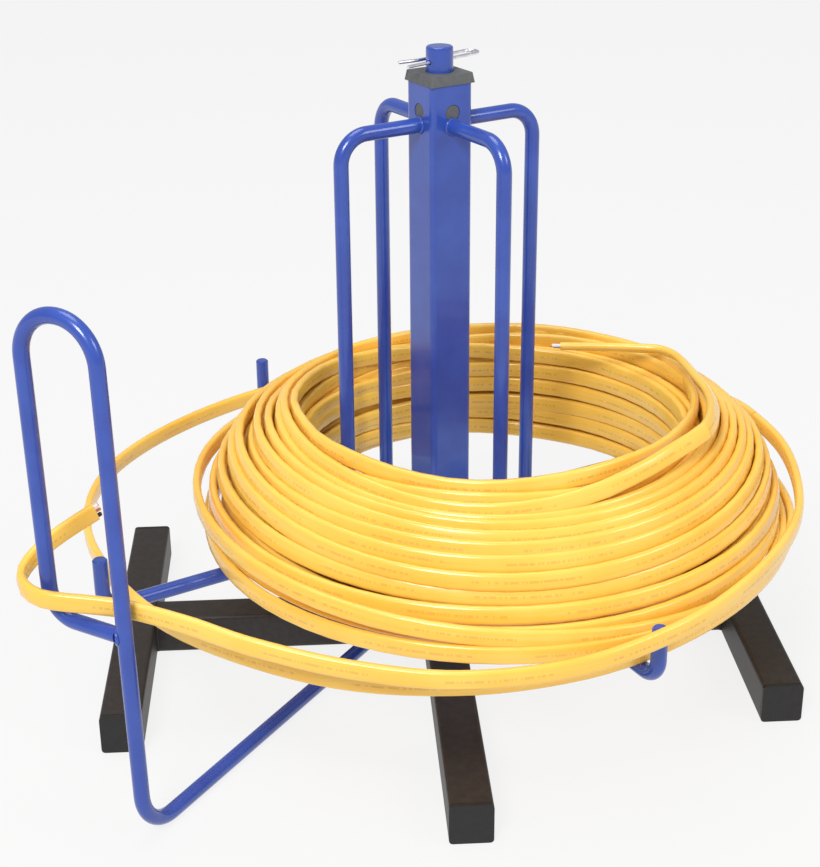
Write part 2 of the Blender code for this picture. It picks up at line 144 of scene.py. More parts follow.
# surface relief, its grain and height in millimetres; it can lie on one made before
def bumped(tree, shader, place, grain, height, before=None):
    noise = addNode(tree, "ShaderNodeTexNoise", {"Scale": 1000 / grain, "Detail": 2.0},
                    {"Vector": place})
    links = {"Height": noise.outputs[0]}
    if before:
        links["Normal"] = before.outputs[0]
    bump = addNode(tree, "ShaderNodeBump", {"Strength": 1.0, "Distance": height / 1000}, links)
    tree.links.new(bump.outputs[0], shader.inputs["Normal"])
    return bump


# gloss powder coat on steel rod and tube: faint orange peel and small unevenness in the blue
blueCoat = {"tones": ("#28439A", "#2E4CA4"), "blotch": 26, "peel": 1.6, "peelHeight": 0.010,
            "roughness": 0.26, "coat": 0.35, "coatRoughness": 0.08}


def makeBlueCoat():
    material, tree, shader = newMaterial("glossBluePowderCoat", {
        "Roughness": blueCoat["roughness"], "Coat Weight": blueCoat["coat"],
        "Coat Roughness": blueCoat["coatRoughness"]})
    place = addNode(tree, "ShaderNodeTexCoord").outputs["Object"]
    mottled(tree, shader, place, blueCoat["tones"], blueCoat["blotch"])
    bumped(tree, shader, place, blueCoat["peel"], blueCoat["peelHeight"])
    return material


# fine-texture powder coat on the base: a dry, slightly brown black with a sandy grain
blackCoat = {"tones": ("#201A18", "#2C2522"), "blotch": 5, "lump": 3.0, "lumpHeight": 0.03,
             "sand": 0.7, "sandHeight": 0.035, "roughness": 0.5}


def makeBlackCoat():
    material, tree, shader = newMaterial("fineTextureBlackPowderCoat", {
        "Roughness": blackCoat["roughness"]})
    place = addNode(tree, "ShaderNodeTexCoord").outputs["Object"]
    mottled(tree, shader, place, blackCoat["tones"], blackCoat["blotch"], detail=6)
    lumps = bumped(tree, shader, place, blackCoat["lump"], blackCoat["lumpHeight"])
    bumped(tree, shader, place, blackCoat["sand"], blackCoat["sandHeight"], before=lumps)
    return material


# finishes with one even grain, sizes in millimetres
evenFinishes = {
    # injection-moulded end plugs: flat black with a spark-eroded grain
    "mouldedBlackPolyethylene": {"tones": ("#131110", "#191616"), "blotch": 4, "grain": 0.5,
                                 "height": 0.012, "roughness": 0.55, "metallic": 0.0},
    # moulded cap: mid grey, dull, with a fine grain
    "mouldedGreyNylon": {"tones": ("#525355", "#595B5D"), "blotch": 3, "grain": 0.45,
                         "height": 0.010, "roughness": 0.62, "metallic": 0.0},
    # washer and bushing, turned from undyed stock: cream and slightly waxy
    "naturalNylon": {"tones": ("#DCD8CC", "#E6E3DA"), "blotch": 6, "grain": 0.5,
                     "height": 0.006, "roughness": 0.45, "metallic": 0.0},
    # zinc plate on drawn spring wire: bright, with a slight waviness
    "brightZincPlate": {"tones": ("#DCDCE8", "#F0F0F6"), "blotch": 4, "grain": 0.8,
                        "height": 0.004, "roughness": 0.3, "metallic": 1.0},
}


def makeEven(name):
    look = evenFinishes[name]
    material, tree, shader = newMaterial(name, {
        "Roughness": look["roughness"], "Metallic": look["metallic"]})
    place = addNode(tree, "ShaderNodeTexCoord").outputs["Object"]
    mottled(tree, shader, place, look["tones"], look["blotch"])
    bumped(tree, shader, place, look["grain"], look["height"])
    return material


# extruded PVC sheath on flat cable: glossy, with fine lines along it from the die (mm)
sheath = {
    "tones": ("#F3BD47", "#F7C95A"), "spots": (0.6, 0.9), "roughness": 0.27,
    "coat": 0.3, "coatRoughness": 0.14,
    "line": 0.55, "lineHeight": 0.014, "lineShare": 0.5,
    "lineChanges": 12,       # per metre along the cable
    "blotches": 14.0,        # per metre, one about every 70 mm
    "grains": 1400.0,        # per metre, one about every 0.7 mm
    "grainHeight": 0.006,
}
# faint plain ticks along the middle of each face, in runs, where such cable has ink (metres);
# bare is the share of cells that have none
marks = {"every": 0.105, "run": 0.068, "half": 0.0008, "tick": 0.0011, "bare": 0.42,
         "tone": "#A8794A", "strength": 0.3}


def makeSheath():
    material, tree, shader = newMaterial("extrudedYellowPvc", {
        "Roughness": sheath["roughness"], "Coat Weight": sheath["coat"],
        "Coat Roughness": sheath["coatRoughness"]})
    along = addNode(tree, "ShaderNodeUVMap", uv_map="UVMap").outputs[0]
    place = addNode(tree, "ShaderNodeTexCoord").outputs["Object"]
    stretch = addNode(tree, "ShaderNodeMapping",
                      {"Scale": (sheath["lineChanges"], 1000 / sheath["line"], 1)},
                      {"Vector": along})
    lines = addNode(tree, "ShaderNodeTexNoise", {"Scale": 1.0, "Detail": 2.0},
                    {"Vector": stretch.outputs[0]})
    slow = addNode(tree, "ShaderNodeTexNoise", {"Scale": sheath["blotches"], "Detail": 3.0},
                   {"Vector": place})
    faintLines = addNode(tree, "ShaderNodeMath", {1: sheath["lineShare"]}, {0: lines.outputs[0]},
                         operation="MULTIPLY")
    both = addNode(tree, "ShaderNodeMath", {}, {0: faintLines.outputs[0], 1: slow.outputs[0]},
                   operation="ADD")
    ramp = addNode(tree, "ShaderNodeValToRGB", links={"Fac": both.outputs[0]})
    setTones(ramp, sheath["tones"], sheath["spots"])

    # ticks: a coin is tossed for each cell along the cable, inside runs and a narrow band
    parts = addNode(tree, "ShaderNodeSeparateXYZ", links={0: along})
    cell = addNode(tree, "ShaderNodeMath", {1: marks["tick"]}, {0: parts.outputs["X"]},
                   operation="DIVIDE")
    whole = addNode(tree, "ShaderNodeMath", {}, {0: cell.outputs[0]}, operation="FLOOR")
    chance = addNode(tree, "ShaderNodeTexWhiteNoise", links={"W": whole.outputs[0]},
                     noise_dimensions="1D")
    mask = addNode(tree, "ShaderNodeMath", {1: marks["bare"]}, {0: chance.outputs[0]},
                   operation="GREATER_THAN")
    share = addNode(tree, "ShaderNodeMath", {1: marks["every"]}, {0: parts.outputs["X"]},
                    operation="FLOORED_MODULO")
    inRun = addNode(tree, "ShaderNodeMath", {1: marks["run"]}, {0: share.outputs[0]},
                    operation="LESS_THAN")
    middle = addNode(tree, "ShaderNodeMath", {}, {0: parts.outputs["Y"]}, operation="ABSOLUTE")
    inBand = addNode(tree, "ShaderNodeMath", {1: marks["half"]}, {0: middle.outputs[0]},
                     operation="LESS_THAN")
    for part in (inRun, inBand):
        mask = addNode(tree, "ShaderNodeMath", {}, {0: mask.outputs[0], 1: part.outputs[0]},
                       operation="MULTIPLY")
    faint = addNode(tree, "ShaderNodeMath", {1: marks["strength"]}, {0: mask.outputs[0]},
                    operation="MULTIPLY")
    mix = addNode(tree, "ShaderNodeMix", {7: linearColour(marks["tone"])},
                  {0: faint.outputs[0], 6: ramp.outputs[0]}, data_type="RGBA")
    tree.links.new(mix.outputs[2], shader.inputs["Base Color"])

    bump = addNode(tree, "ShaderNodeBump", {"Distance": sheath["lineHeight"] / 1000},
                   {"Height": lines.outputs[0]})
    grain = addNode(tree, "ShaderNodeTexNoise", {"Scale": sheath["grains"], "Detail": 2.0},
                    {"Vector": place})
    fine = addNode(tree, "ShaderNodeBump", {"Distance": sheath["grainHeight"] / 1000},
                   {"Height": grain.outputs[0], "Normal": bump.outputs[0]})
    tree.links.new(fine.outputs[0], shader.inputs["Normal"])
    return material


finishes = {
    "blue_coat": makeBlueCoat(),
    "black_coat": makeBlackCoat(),
    "black_plastic": makeEven("mouldedBlackPolyethylene"),
    "grey_plastic": makeEven("mouldedGreyNylon"),
    "nylon": makeEven("naturalNylon"),
    "zinc": makeEven("brightZincPlate"),
    "yellow_sheath": makeSheath(),
}
slotOfNode = {part["node"]: part["material_slot"] for part in frame["record"]["subparts"]}
for name, thing in frame["nodes"].items():
    thing.data.materials.clear()
    thing.data.materials.append(finishes[slotOfNode[name]])
print("finishes made")

# the flat cable, in metres; waist is how far its faces dip between the cores, as a share
cable = {
    "width": 0.012, "thickness": 0.0056, "edge": 0.0023, "sides": 22, "waist": 0.05,
    "edgePoints": 6, "ripples": 1.5,
    "loosePitch": 0.014, "leadPitch": 0.008, "innerPitch": 0.007,   # between a route's points
}
knotSteps = 24     # points on the curve between two knots, before they are spaced evenly


# points at even spacing on one smooth curve through the given ones; before and after are the
# neighbours' points, so that the curve meets them smoothly
def tidyCurve(points, step, before=None, after=None):
    knots = np.array(points, float)
    first = 2 * knots[0] - knots[1] if before is None else before
    last = 2 * knots[-1] - knots[-2] if after is None else after
    padded = np.vstack([first, knots, last])
    fine = []
    for i in range(len(knots) - 1):
        a, b, c, d = padded[i:i + 4]
        for t in np.linspace(0, 1, knotSteps, endpoint=False):
            fine.append(0.5 * (2 * b + (c - a) * t + (2 * a - 5 * b + 4 * c - d) * t ** 2
                               + (3 * b - a - 3 * c + d) * t ** 3))
    fine.append(knots[-1])
    fine = np.array(fine)
    hops = np.linalg.norm(np.diff(fine[:, :3], axis=0), axis=1)
    run = np.concatenate([[0], np.cumsum(hops)])
    spots = np.linspace(0, run[-1], max(2, round(run[-1] / step)) + 1)
    return np.column_stack([np.interp(spots, run, fine[:, i]) for i in range(fine.shape[1])])


# sweeps the flat section along a curve, and writes length and width to the piece's UV map
def cableTree():
    tree = bpy.data.node_groups.new("flatCableSweep", "GeometryNodeTree")
    face = tree.interface
    face.new_socket("Geometry", in_out="INPUT", socket_type="NodeSocketGeometry")
    names = {}
    for label, kind in (("Width", "Float"), ("Thickness", "Float"), ("Edge", "Float"),
                        ("Waist", "Float"), ("Sides", "Int"), ("Material", "Material")):
        names[label] = face.new_socket(label, in_out="INPUT",
                                       socket_type="NodeSocket" + kind).identifier
    face.new_socket("Geometry", in_out="OUTPUT", socket_type="NodeSocketGeometry")
    inside = addNode(tree, "NodeGroupInput")
    length = addNode(tree, "GeometryNodeSplineParameter").outputs["Length"]
    route = addNode(tree, "GeometryNodeCaptureAttribute",
                    links={"Geometry": inside.outputs["Geometry"]})
    route.capture_items.new("FLOAT", "Length")
    tree.links.new(length, route.inputs["Length"])

    # section: a rounded bar whose two faces dip a little beside each core
    box = addNode(tree, "GeometryNodeCurvePrimitiveQuadrilateral",
                  links={"Width": inside.outputs["Thickness"], "Height": inside.outputs["Width"]})
    rounded = addNode(tree, "GeometryNodeFilletCurve", {"Count": cable["edgePoints"]},
                      {"Curve": box.outputs[0], "Radius": inside.outputs["Edge"]}, mode="POLY")
    even = addNode(tree, "GeometryNodeResampleCurve",
                   links={"Curve": rounded.outputs[0], "Count": inside.outputs["Sides"]})
    spot = addNode(tree, "GeometryNodeInputPosition").outputs[0]
    parts = addNode(tree, "ShaderNodeSeparateXYZ", links={0: spot})
    share = addNode(tree, "ShaderNodeMath", {},
                    {0: parts.outputs["Y"], 1: inside.outputs["Width"]}, operation="DIVIDE")
    wave = addNode(tree, "ShaderNodeMath", {1: 2 * pi * cable["ripples"]},
                   {0: share.outputs[0]}, operation="MULTIPLY")
    ripple = addNode(tree, "ShaderNodeMath", {}, {0: wave.outputs[0]}, operation="COSINE")
    depth = addNode(tree, "ShaderNodeMath", {},
                    {0: ripple.outputs[0], 1: inside.outputs["Waist"]}, operation="MULTIPLY")
    scaled = addNode(tree, "ShaderNodeMath", {},
                     {0: depth.outputs[0], 1: parts.outputs["X"]}, operation="MULTIPLY")
    shift = addNode(tree, "ShaderNodeCombineXYZ", links={"X": scaled.outputs[0]})
    shaped = addNode(tree, "GeometryNodeSetPosition",
                     links={"Geometry": even.outputs[0], "Offset": shift.outputs[0]})
    section = addNode(tree, "GeometryNodeCaptureAttribute", links={"Geometry": shaped.outputs[0]})
    section.capture_items.new("FLOAT", "Across")
    tree.links.new(parts.outputs["Y"], section.inputs["Across"])

    sweep = addNode(tree, "GeometryNodeCurveToMesh", {"Fill Caps": True},
                    {"Curve": route.outputs["Geometry"],
                     "Profile Curve": section.outputs["Geometry"]})
    smooth = addNode(tree, "GeometryNodeSetShadeSmooth", links={"Geometry": sweep.outputs[0]})
    pair = addNode(tree, "ShaderNodeCombineXYZ",
                   links={"X": route.outputs["Length"], "Y": section.outputs["Across"]})
    mapped = addNode(tree, "GeometryNodeStoreNamedAttribute", {"Name": "UVMap"},
                     {"Geometry": smooth.outputs[0], "Value": pair.outputs[0]},
                     data_type="FLOAT2", domain="CORNER")
    whole = addNode(tree, "GeometryNodeRealizeInstances", links={"Geometry": mapped.outputs[0]})
    painted = addNode(tree, "GeometryNodeSetMaterial",
                      links={"Geometry": whole.outputs[0], "Material": inside.outputs["Material"]})
    addNode(tree, "NodeGroupOutput", links={"Geometry": painted.outputs[0]})
    return tree, names


sweepTree, sweepNames = cableTree()


# the evaluated shape as a plain mesh piece
def frozen(thing, name):
    bpy.context.view_layer.update()
    graph = bpy.context.evaluated_depsgraph_get()
    mesh = bpy.data.meshes.new_from_object(thing.evaluated_get(graph), depsgraph=graph)
    bpy.data.objects.remove(thing)
    mesh.name = name
    piece = bpy.data.objects.new(name, mesh)
    scene.collection.objects.link(piece)
    return piece


# path rows: x, y, z, tilt in degrees
def sweepCable(name, path):
    data = bpy.data.curves.new(name + "Route", "CURVE")
    data.dimensions = "3D"
    data.twist_mode = "Z_UP"
    spline = data.splines.new("POLY")
    spline.points.add(len(path) - 1)
    for point, (x, y, z, tilt) in zip(spline.points, path):
        point.co = (x, y, z, 1)
        point.tilt = radians(tilt)
    thing = bpy.data.objects.new(name + "Route", data)
    scene.collection.objects.link(thing)
    modifier = thing.modifiers.new("sweep", "NODES")
    modifier.node_group = sweepTree
    for label in ("Width", "Thickness", "Edge", "Waist", "Sides"):
        modifier[sweepNames[label]] = cable[label.lower()]
    modifier[sweepNames["Material"]] = finishes["yellow_sheath"]
    return frozen(thing, name)


# each turn: radius and height of its centre line above the coil's underside, what both change by
# at the front of the coil, and its tilt, from the outermost turn to the innermost (mm, degrees)
coil = {
    "centre": (0.038, -0.014),   # metres
    "bottom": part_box("cable_coil")[0][2],
    "start": 20.2,               # degrees, where the loose turn joins
    "samples": 24,               # knots per turn
    "perTurn": 56,               # points per turn
    "meanRadius": 0.165,
    "jogs": (95, 190),           # degrees between which a turn steps over to the next
    "jogWidths": (70, 150),
    "firstJog": (318, 90),       # the outermost turn steps down here, over this many degrees
    "front": -93, "frontPower": 1.25,
    "left": 178,                 # side where the outer turns stand away (degrees)
    "leftSwell": 4, "leftPower": 1.5, "leftFrom": 178, "leftOver": 28,
    "askew": 15,                 # the outermost turn is this much higher on that side (mm)
    "lowest": 6.1,
    "tiltBehind": 0.4,           # share of a turn's tilt that stays behind
    "radiusWander": 0.6, "heightWander": 0.75, "tiltWander": 2,
    "waves": {"count": 7, "speed": (0.3, 2.6), "phase": (0, 6.28), "size": (0.25, 0.6)},
    "gap": 20,                   # degrees left free before the turns over the top
    "joinKnots": 6,
    "seed": 7,
    "turns": [
        (210.0, 18.6, -4, 0, 8), (203.6, 6.6, 0, 0, 0), (197.6, 6.3, 12, 0, 0),
        (197.6, 18.7, 1, -4, 6), (197.6, 31.0, -9, -8, 14), (191.2, 44.2, -11, -15.4, 20),
        (191.2, 31.6, -11, -17, 0), (191.2, 19.2, -9, -6, 0), (191.2, 6.8, -7, 0, 0),
        (184.8, 6.4, -7, 0, 0), (184.8, 44.5, -12, -20, 0), (184.8, 56.8, -9, -17, 16),
        (178.4, 65.0, -8, -17, 20), (178.4, 52.6, -10, -20, 0), (178.4, 6.6, -6, 0, 0),
        (172.0, 6.5, -6, 0, 0), (172.0, 57.5, -8, -17, 0), (172.0, 70.0, -7, -15, 14),
        (165.6, 74.5, -7, -15, 22), (165.6, 62.2, -8, -17, 0), (165.6, 6.4, -5, 0, 0),
        (159.2, 6.6, -4, 0, 0), (159.2, 65.7, -6, -15, 0), (159.2, 78.0, -6, -14, 10),
        (152.8, 80.0, -4, -14, 14), (152.8, 67.6, -4, -14, 0), (152.8, 19.0, -2, 0, 0),
        (152.8, 6.5, -2, 0, 0), (146.4, 6.4, 0, 0, 0), (146.4, 18.7, 0, 0, 0),
        (146.4, 55.0, -2, -12, 0), (146.4, 67.4, -2, -14, 0), (146.4, 79.8, -2, -17, 4),
        (140.0, 70.5, -0.6, 6.5, 3), (140.0, 58.2, 0, -1, 0), (140.0, 45.8, 0, 0, 0),
        (140.0, 33.4, 0, 0, 0), (140.0, 21.0, 0, 0, 0), (140.0, 8.6, 0, 0, 0),
        (133.8, 6.3, 0, 0, 0), (133.8, 19.0, 0, 0, 0), (133.8, 31.7, 0, 0, 0),
        (133.8, 44.4, 0, 0, 0), (133.8, 57.1, 0, 0, 0), (133.8, 69.8, 0, 0, 0),
    ],
    # the last two turns, over the top: azimuth run on from the turn before, radius, height, tilt
    "over": [
        (60, 133.8, 70.5, 0), (100, 135.5, 74, 0), (140, 139.0, 82, 2), (173, 141.0, 87, 2),
        (200, 138.0, 87, 2), (218, 135.8, 86, 3), (238, 134.2, 83.5, 3), (256, 134.0, 82.2, 6),
        (274, 134.0, 84.2, 6), (292, 134.0, 87, 5), (315, 134.0, 87.5, 2), (335, 134.5, 87, 2),
        (350, 137.5, 85, 2), (364, 142.0, 83, 2), (380, 149.0, 82, 2), (400, 153.0, 83, 2),
        (430, 153.5, 82.5, 4), (460, 152.5, 81.5, 6), (490, 152.0, 81.5, 6), (520, 150.0, 83, 6),
        (545, 147.0, 84, 6), (570, 145.0, 80, 9), (595, 144.2, 74, 10), (616, 144.4, 71.3, 11),
        (635, 144.6, 74, 12), (650, 145.5, 80, 18), (663, 147.0, 87, 24), (675, 149.6, 93, 28),
    ],
}


def smoothStep(x):
    x = np.clip(x, 0, 1)
    return x * x * (3 - 2 * x)


# slow waves with drawn speed, phase and size, so that no two turns lie alike
def drawWaves(draw):
    wave = coil["waves"]
    return [tuple(draw.uniform(*wave[kind]) for kind in ("speed", "phase", "size"))
            for i in range(wave["count"])]


def wander(waves, angle):
    return sum(size * sin(speed * radians(angle) + phase) for speed, phase, size in waves)


# knots of the whole winding: azimuth runs on from turn to turn, and each turn has its own jog
def coilKnots(firstPoint, lastPoint):
    turns = np.array(coil["turns"], float)
    count = len(turns)
    draw = np.random.default_rng(coil["seed"])
    start = coil["start"]
    lastBase = 360 * (count - 1 + (1 if coil["over"][0][0] < start else 0))
    jogAt = draw.uniform(*coil["jogs"], count)
    jogWidth = draw.uniform(*coil["jogWidths"], count)
    jogAt[0], jogWidth[0] = coil["firstJog"]
    sways = drawWaves(draw)
    lifts = drawWaves(draw)
    rows = []
    for angle in np.arange(start, lastBase + coil["over"][0][0] - coil["gap"],
                           360 / coil["samples"]):
        i = int((angle - start) // 360)
        within = angle - start - 360 * i
        one, two = turns[i], turns[min(i + 1, count - 1)]
        step = smoothStep((within + start - jogAt[i]) / jogWidth[i] + 0.5)
        radius, height, frontRadius, frontHeight, tilt = one + (two - one) * step
        front = max(0.0, cos(radians(angle - coil["front"]))) ** coil["frontPower"]
        radius += frontRadius * front + coil["radiusWander"] * wander(sways, angle)
        height += frontHeight * front + coil["heightWander"] * wander(lifts, angle)
        left = cos(radians(angle - coil["left"]))
        if i == 0:
            height += coil["askew"] * left * (1 - step)
        else:
            outer = max(0.0, (one[0] - coil["leftFrom"]) / coil["leftOver"])
            radius += coil["leftSwell"] * max(0.0, left) ** coil["leftPower"] * outer
        tilt *= coil["tiltBehind"] + (1 - coil["tiltBehind"]) * front
        tilt += coil["tiltWander"] * wander(lifts, angle + 90)
        rows.append((angle, radius, max(coil["lowest"], height), tilt))
    for angle, radius, height, tilt in coil["over"]:
        rows.append((lastBase + angle, radius, height, tilt))

    path = []
    middleX, middleY = coil["centre"]
    for angle, radius, height, tilt in rows:
        a = radians(angle)
        path.append((middleX + radius / 1000 * cos(a), middleY + radius / 1000 * sin(a),
                     coil["bottom"] + height / 1000, -tilt))
    path = np.array(path)
    offset = np.array(firstPoint) - path[0, :3]
    for k in range(coil["joinKnots"]):      # the first stretch comes in from the loose turn
        path[k, :3] += offset * (1 - smoothStep(k / coil["joinKnots"]))
    return np.vstack([path, lastPoint])


# the loose turn, as azimuth, radius, height, then the lead and the coil's inner end (metres)
looseRoute = [
    (10.6, 0.2431, 0.1470), (20, 0.2438, 0.1438), (34, 0.2450, 0.1375), (50, 0.2450, 0.1290),
    (70, 0.2430, 0.1210), (92, 0.2425, 0.1160), (118, 0.2435, 0.1130), (143, 0.2445, 0.1125),
    (166, 0.2515, 0.1130), (187, 0.2520, 0.1130), (208.4, 0.2490, 0.1130), (228, 0.2505, 0.1130),
    (250, 0.2540, 0.1130), (268, 0.2545, 0.1130), (284, 0.2520, 0.1130), (298.4, 0.2480, 0.1130),
    (314, 0.2450, 0.1130), (330, 0.2460, 0.1130), (346, 0.2490, 0.1130), (360, 0.2470, 0.1130),
    (374, 0.2420, 0.1130),
]
leadRoute = [
    (0.2393, 0.0422, 0.1471), (0.2458, -0.0086, 0.1482), (0.2414, -0.0646, 0.1486),
    (0.2274, -0.1209, 0.1495), (0.2022, -0.1697, 0.1500), (0.1668, -0.2136, 0.1475),
    (0.1214, -0.2490, 0.1420), (0.0587, -0.2763, 0.1370), (-0.0099, -0.2823, 0.1350),
    (-0.0722, -0.2695, 0.1370), (-0.1276, -0.2510, 0.1430), (-0.1650, -0.2340, 0.1490),
    (-0.1985, -0.2205, 0.1530), (-0.2130, -0.2175, 0.1545), (-0.2275, -0.2150, 0.1555),
    (-0.2420, -0.2130, 0.1565), (-0.2550, -0.2090, 0.1575), (-0.2645, -0.2000, 0.1590),
    (-0.2685, -0.1880, 0.1605), (-0.2665, -0.1755, 0.1625), (-0.2605, -0.1640, 0.1655),
    (-0.2510, -0.1550, 0.1700), (-0.2395, -0.1475, 0.1750), (-0.2275, -0.1410, 0.1800),
]
innerRoute = [
    (0.1677, -0.0972, 0.2025), (0.1799, -0.0649, 0.2027), (0.1834, -0.0360, 0.2030),
    (0.1812, -0.0084, 0.2033), (0.1783, 0.0172, 0.2035), (0.1745, 0.0355, 0.2035),
    (0.1660, 0.0475, 0.2035), (0.1498, 0.0530, 0.2034), (0.1220, 0.0590, 0.2030),
    (0.0945, 0.0640, 0.2025),
]
innerLean = (-30, -64)     # degrees towards the spindle, where it leaves the coil and at its end
loosePoints = [(r * cos(radians(a)), r * sin(radians(a)), z, 0) for a, r, z in looseRoute]
leadPoints = [(x, y, z, 0) for x, y, z in leadRoute]
leanPerPoint = (innerLean[1] - innerLean[0]) / (len(innerRoute) - 1)
innerPoints = [(x, y, z, innerLean[0] + leanPerPoint * k) for k, (x, y, z) in enumerate(innerRoute)]

coilPoints = coilKnots(loosePoints[-1][:3], innerPoints[0])
coilPitch = 2 * pi * coil["meanRadius"] / coil["perTurn"]
loosePath = tidyCurve(loosePoints, cable["loosePitch"], before=leadPoints[1], after=coilPoints[1])
leadPath = tidyCurve(leadPoints, cable["leadPitch"], before=loosePoints[1])
innerPath = tidyCurve(innerPoints, cable["innerPitch"], before=coilPoints[-2])
coilPath = tidyCurve(coilPoints, coilPitch, before=loosePoints[-2], after=innerPoints[1])

windings = sweepCable("coiledCable", coilPath)
looseTurn = sweepCable("looseTurnCable", loosePath)
lead = sweepCable("leadCable", leadPath)
innerEnd = sweepCable("innerEndCable", innerPath)
print("cable swept")

# metres and degrees; chamfer is how far a cut end is eased
rod = {"radius": 0.005, "chamfer": 0.001, "sides": 28, "steps": 14}
roundestArch = 0.98        # bend radius of a U, as a share of half its width
arms = {
    "count": 4,
    "turn": 28.4,            # of the carousel
    "face": 0.016175,        # post's side, plus the gap
    "height": 0.101,
    "reach": 0.262,
    "bend": 0.013,
    "tip": 0.0365,
    # how each arm is bent away from true: outwards, sideways, upwards
    "bent": ((-0.0050, -0.0090, -0.0090), (-0.0060, 0.0114, 0), (-0.0005, 0, 0),
             (0.0002, -0.0122, 0)),
}
cage = {"radius": 0.0754, "height": 0.3882, "bend": 0.019, "foot": 0.1063}
guide = {
    "heading": 56.4, "weld": (-0.0518, -0.014, 0.005), "weldBack": 0.0006,
    "run": 0.2689, "height": 0.3285, "width": 0.0558, "sill": 0.1357,
    "sillBend": 0.020, "footBend": 0.026, "leanSide": 0.051, "leanIn": 0.035, "gap": 0.0003,
}
base = {"tube": 0.028, "corner": 0.0018, "seamFoot": 0.0015, "seamSteps": 8,
        "barHalf": 0.014, "crossFront": -0.0142, "foot": 0.2096}
clip = {"wire": 0.0011, "turn": 40, "height": 0.4287, "tip": 0.028, "eye": 0.0385,
        "side": 0.0106, "spindle": 0.009, "outer": 0.0235, "flare": 0.0035, "flareBend": 0.008,
        "sides": 16, "chamfer": 0.0003}
weld = {"bead": 0.0012, "barBead": 0.0011, "ripple": 0.0011, "rippleScale": 330.0,
        "sides": 10, "points": 26, "proud": 0.0002, "shallowest": 0.002}   # shallowest on a bar
smoothUnder = 40           # degrees between two faces, for soft shading


# round section swept along a curve; Ripple roughens its surface
def roundTree():
    tree = bpy.data.node_groups.new("roundSweep", "GeometryNodeTree")
    face = tree.interface
    face.new_socket("Geometry", in_out="INPUT", socket_type="NodeSocketGeometry")
    names = {}
    for label, kind in (("Radius", "Float"), ("Sides", "Int"), ("Ripple", "Float"),
                        ("Material", "Material")):
        names[label] = face.new_socket(label, in_out="INPUT",
                                       socket_type="NodeSocket" + kind).identifier
    face.new_socket("Geometry", in_out="OUTPUT", socket_type="NodeSocketGeometry")
    inside = addNode(tree, "NodeGroupInput")
    ring = addNode(tree, "GeometryNodeCurvePrimitiveCircle",
                   links={"Resolution": inside.outputs["Sides"],
                          "Radius": inside.outputs["Radius"]})
    size = addNode(tree, "GeometryNodeInputRadius").outputs[0]
    sweep = addNode(tree, "GeometryNodeCurveToMesh", {"Fill Caps": True},
                    {"Curve": inside.outputs["Geometry"], "Profile Curve": ring.outputs[0],
                     "Scale": size})
    noise = addNode(tree, "ShaderNodeTexNoise", {"Scale": weld["rippleScale"], "Detail": 1.0})
    centred = addNode(tree, "ShaderNodeMath", {1: 0.5}, {0: noise.outputs[0]}, operation="SUBTRACT")
    amount = addNode(tree, "ShaderNodeMath", {},
                     {0: centred.outputs[0], 1: inside.outputs["Ripple"]}, operation="MULTIPLY")
    normal = addNode(tree, "GeometryNodeInputNormal").outputs[0]
    push = addNode(tree, "ShaderNodeVectorMath", {},
                   {0: normal, "Scale": amount.outputs[0]}, operation="SCALE")
    rough = addNode(tree, "GeometryNodeSetPosition",
                    links={"Geometry": sweep.outputs[0], "Offset": push.outputs[0]})
    angle = addNode(tree, "GeometryNodeInputMeshEdgeAngle")
    flat = addNode(tree, "ShaderNodeMath", {1: radians(smoothUnder)}, {0: angle.outputs[0]},
                   operation="LESS_THAN")
    smooth = addNode(tree, "GeometryNodeSetShadeSmooth", {}, {"Geometry": rough.outputs[0]})
    edges = addNode(tree, "GeometryNodeSetShadeSmooth",
                    links={"Geometry": smooth.outputs[0], "Shade Smooth": flat.outputs[0]},
                    domain="EDGE")
    whole = addNode(tree, "GeometryNodeRealizeInstances", links={"Geometry": edges.outputs[0]})
    painted = addNode(tree, "GeometryNodeSetMaterial",
                      links={"Geometry": whole.outputs[0], "Material": inside.outputs["Material"]})
    addNode(tree, "NodeGroupOutput", links={"Geometry": painted.outputs[0]})
    return tree, names


roundNodes, roundNames = roundTree()


# routes of points swept into one piece; chamfer eases each route's last end
def sweepRound(name, routes, radius, material, ripple=0.0, closed=False, sides=None, chamfer=0.0):
    data = bpy.data.curves.new(name + "Route", "CURVE")
    data.dimensions = "3D"
    for route in routes:
        route = [Vector(point) for point in route]
        radii = [1.0] * len(route)
        if chamfer:
            back = (route[-2] - route[-1]).normalized()
            route.insert(-1, route[-1] + back * chamfer)
            radii = [1.0] * (len(route) - 1) + [1 - chamfer / radius]
        spline = data.splines.new("POLY")
        spline.points.add(len(route) - 1)
        spline.use_cyclic_u = closed
        for point, place, size in zip(spline.points, route, radii):
            point.co = (*place, 1)
            point.radius = size
    thing = bpy.data.objects.new(name + "Route", data)
    scene.collection.objects.link(thing)
    modifier = thing.modifiers.new("sweep", "NODES")
    modifier.node_group = roundNodes
    modifier[roundNames["Radius"]] = radius
    modifier[roundNames["Sides"]] = sides or rod["sides"]
    modifier[roundNames["Ripple"]] = ripple
    modifier[roundNames["Material"]] = material
    return frozen(thing, name)


